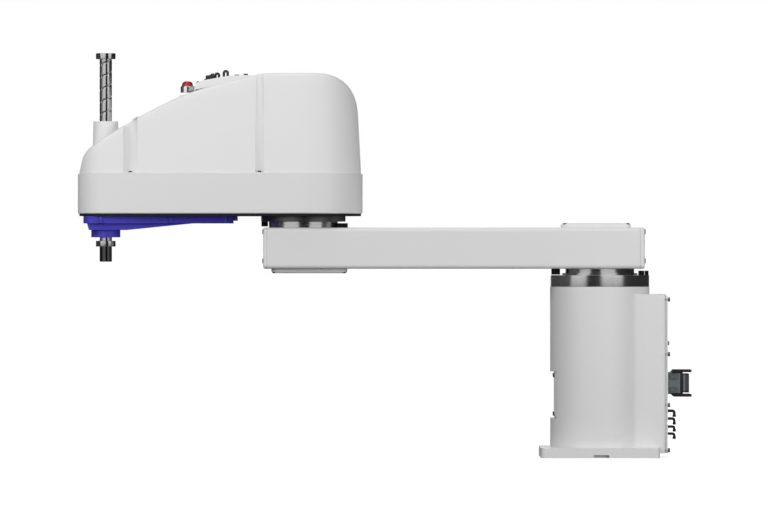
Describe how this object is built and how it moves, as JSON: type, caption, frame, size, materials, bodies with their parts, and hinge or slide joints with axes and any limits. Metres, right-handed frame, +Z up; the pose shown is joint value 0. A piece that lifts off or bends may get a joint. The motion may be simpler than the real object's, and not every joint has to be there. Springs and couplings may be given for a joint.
{
  "type": "scara robot",
  "caption": "Floor-standing four-axis arm: two horizontal links on a column carry a vertical shaft that lifts and turns a tool.",
  "frame": {"origin": "on the first joint's axis at the underside of the foot, in the middle of the four foot bolts", "axes": "+X along the stretched arm towards the tool shaft, +Z up along the joint axes, +Y to the left of the arm"},
  "size_m": [1.2408, 0.24, 0.8165],
  "materials": {
    "white_paint": "fine-textured warm white paint on cast aluminium",
    "cover_plastic": "moulded white cover, satin, paint-matched to the castings",
    "blue_plastic": "moulded guard in deep blue, satin",
    "ground_steel": "turned and ground bearing steel, bright",
    "hardened_shaft": "hardened and ground shaft, bright",
    "black_screw": "black oxide fasteners",
    "black_plastic": "black moulded fittings",
    "grey_plastic": "grey moulded connector hood",
    "dark_plate": "dark painted plate",
    "motor_black": "black painted servo motor",
    "machined_aluminium": "machined aluminium",
    "belt_rubber": "toothed belt rubber",
    "red_lens": "translucent red lamp lens",
    "bright_chrome": "chromed lamp ring",
    "brass": "brass bezel"
  },
  "bodies": {
    "base": {"base_casting": "white_paint", "base_front_cover": "white_paint", "base_rear_plate": "white_paint", "base_cover_screws": "black_screw", "power_connector_housing": "grey_plastic", "power_connector_cap": "grey_plastic", "base_air_fittings": "black_plastic", "base_signal_connectors": "bright_chrome", "j1_bearing_ring": "ground_steel", "j1_stop_bolts": "black_screw", "j1_motor": "motor_black", "j1_flexspline": "ground_steel"},
    "j1_generator": {"j1_wave_generator": "ground_steel"},
    "lever_upper": {"connector_lever_upper": "black_plastic"},
    "lever_lower": {"connector_lever_lower": "black_plastic"},
    "arm_one": {"j1_output_flange": "ground_steel", "j1_circular_spline": "ground_steel", "j1_stop_block": "black_plastic", "arm_one_casting": "white_paint", "arm_one_front_cap": "white_paint", "arm_one_rear_cap": "white_paint", "arm_one_top_cover": "white_paint", "arm_one_bottom_cover": "white_paint", "arm_one_fasteners": "black_screw", "j2_lower_flange": "ground_steel", "j2_circular_spline": "ground_steel", "j2_stop_posts": "black_plastic"},
    "arm_two": {"j2_upper_ring": "ground_steel", "j2_flexspline": "ground_steel", "j2_motor": "motor_black", "j2_stop_lug": "black_screw", "arm_two_cover": "cover_plastic", "arm_two_bottom_plate": "dark_plate", "arm_two_casting": "white_paint", "arm_two_screws": "black_screw", "shaft_guard": "blue_plastic", "nut_bearing_housing": "machined_aluminium", "shaft_nut_bracket": "machined_aluminium", "shaft_nut_bearings": "ground_steel", "turn_belt": "belt_rubber", "lift_belt": "belt_rubber", "lift_motor": "motor_black", "turn_motor": "motor_black", "motor_brackets": "machined_aluminium", "status_lamp_base": "bright_chrome", "status_lamp_lens": "red_lens", "button_bezel": "brass", "user_signal_connectors": "black_plastic", "user_fittings": "black_plastic", "user_panel": "cover_plastic"},
    "j2_generator": {"j2_wave_generator": "ground_steel"},
    "spline": {"spline_nut": "ground_steel", "spline_nut_pulley": "machined_aluminium"},
    "shaft": {"tool_shaft": "hardened_shaft", "shaft_stop_rings": "hardened_shaft"},
    "ball_nut": {"ball_screw_nut": "ground_steel", "ball_nut_pulley": "machined_aluminium"},
    "turn_pulley": {"turn_motor_pulley": "machined_aluminium"},
    "lift_pulley": {"lift_motor_pulley": "machined_aluminium"},
    "brake_button": {"brake_release_button": "black_plastic"}
  },
  "joints": [
    {"name": "j1_swing", "type": "hinge", "parent": "base", "child": "arm_one", "pos_m": [0, 0, 0.38], "axis": [0, 0, 1], "range_deg": [-152, 152]},
    {"name": "j2_swing", "type": "hinge", "parent": "arm_one", "child": "arm_two", "pos_m": [0.6, 0, 0.4757], "axis": [0, 0, 1], "range_deg": [-152.5, 152.5]},
    {"name": "tool_turn", "type": "hinge", "parent": "arm_two", "child": "spline", "pos_m": [1, 0, 0.48], "axis": [0, 0, 1], "range_deg": [-360, 360]},
    {"name": "tool_lift", "type": "slide", "parent": "spline", "child": "shaft", "axis": [0, 0, 1], "range_m": [-0.18, 0]},
    {"name": "ball_nut_spin", "type": "hinge", "parent": "spline", "child": "ball_nut", "pos_m": [1, 0, 0.56], "axis": [0, 0, 1], "continuous": true},
    {"name": "lift_pulley_spin", "type": "hinge", "parent": "arm_two", "child": "lift_pulley", "pos_m": [0.875, 0, 0.58], "axis": [0, 0, 1], "continuous": true},
    {"name": "turn_pulley_spin", "type": "hinge", "parent": "arm_two", "child": "turn_pulley", "pos_m": [0.785, 0, 0.51], "axis": [0, 0, 1], "continuous": true},
    {"name": "j1_generator_spin", "type": "hinge", "parent": "base", "child": "j1_generator", "pos_m": [0, 0, 0.35], "axis": [0, 0, 1], "continuous": true},
    {"name": "j2_generator_spin", "type": "hinge", "parent": "arm_two", "child": "j2_generator", "pos_m": [0.6, 0, 0.49], "axis": [0, 0, 1], "continuous": true},
    {"name": "brake_button_press", "type": "slide", "parent": "arm_two", "child": "brake_button", "axis": [0, 0, -1], "range_m": [0, 0.002], "stiffness_N_per_m": 400},
    {"name": "lever_upper_swing", "type": "hinge", "parent": "base", "child": "lever_upper", "pos_m": [-0.1448, 0, 0.1622], "axis": [0, 1, 0], "range_deg": [0, 45]},
    {"name": "lever_lower_swing", "type": "hinge", "parent": "base", "child": "lever_lower", "pos_m": [-0.1448, 0, 0.1365], "axis": [0, -1, 0], "range_deg": [0, 45]}
  ],
  "couplings": [
    {"joint": "ball_nut_spin", "follows": "tool_lift", "rad_per_m": 251.33},
    {"joint": "lift_pulley_spin", "follows": "tool_lift", "rad_per_m": 502.65},
    {"joint": "turn_pulley_spin", "follows": "tool_turn", "ratio": 2},
    {"joint": "j1_generator_spin", "follows": "j1_swing", "ratio": 81},
    {"joint": "j2_generator_spin", "follows": "j2_swing", "ratio": -51}
  ]
}
